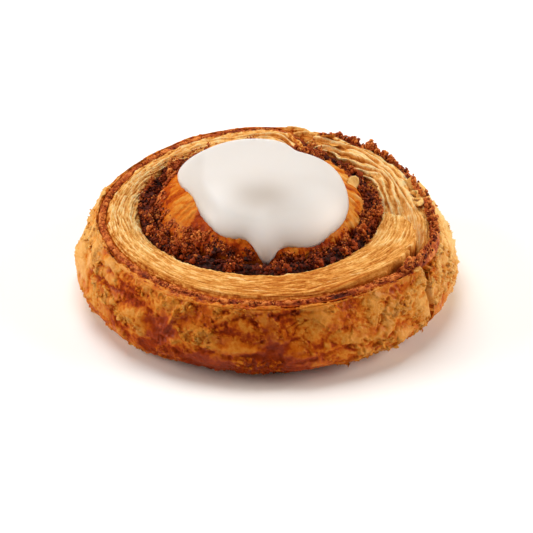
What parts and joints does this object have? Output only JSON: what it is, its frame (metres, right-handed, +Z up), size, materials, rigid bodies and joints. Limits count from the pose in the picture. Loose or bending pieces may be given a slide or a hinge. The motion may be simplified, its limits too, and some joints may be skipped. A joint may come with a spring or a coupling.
{
  "type": "cinnamon swirl pastry",
  "caption": "Flat coiled cinnamon pastry of laminated dough with a dark crumbly filling wound through it and a cap of white icing over the middle.",
  "frame": {"origin": "centre of the underside's outline, on the surface that the pastry rests on", "axes": "+Z up through the icing, -Y towards the side where the icing drips, +X towards the bare filling at the outer end of the coil"},
  "size_m": [0.1112, 0.1064, 0.0369],
  "materials": {
    "dough": "baked flaky dough, golden brown with a soft sheen",
    "filling": "coarse dark brown sugar and cinnamon crumb, dull",
    "icing": "smooth glossy white sugar icing"
  },
  "bodies": {
    "root": {"dough_coil": "dough", "cinnamon_filling": "filling", "icing": "icing"}
  },
  "joints": []
}
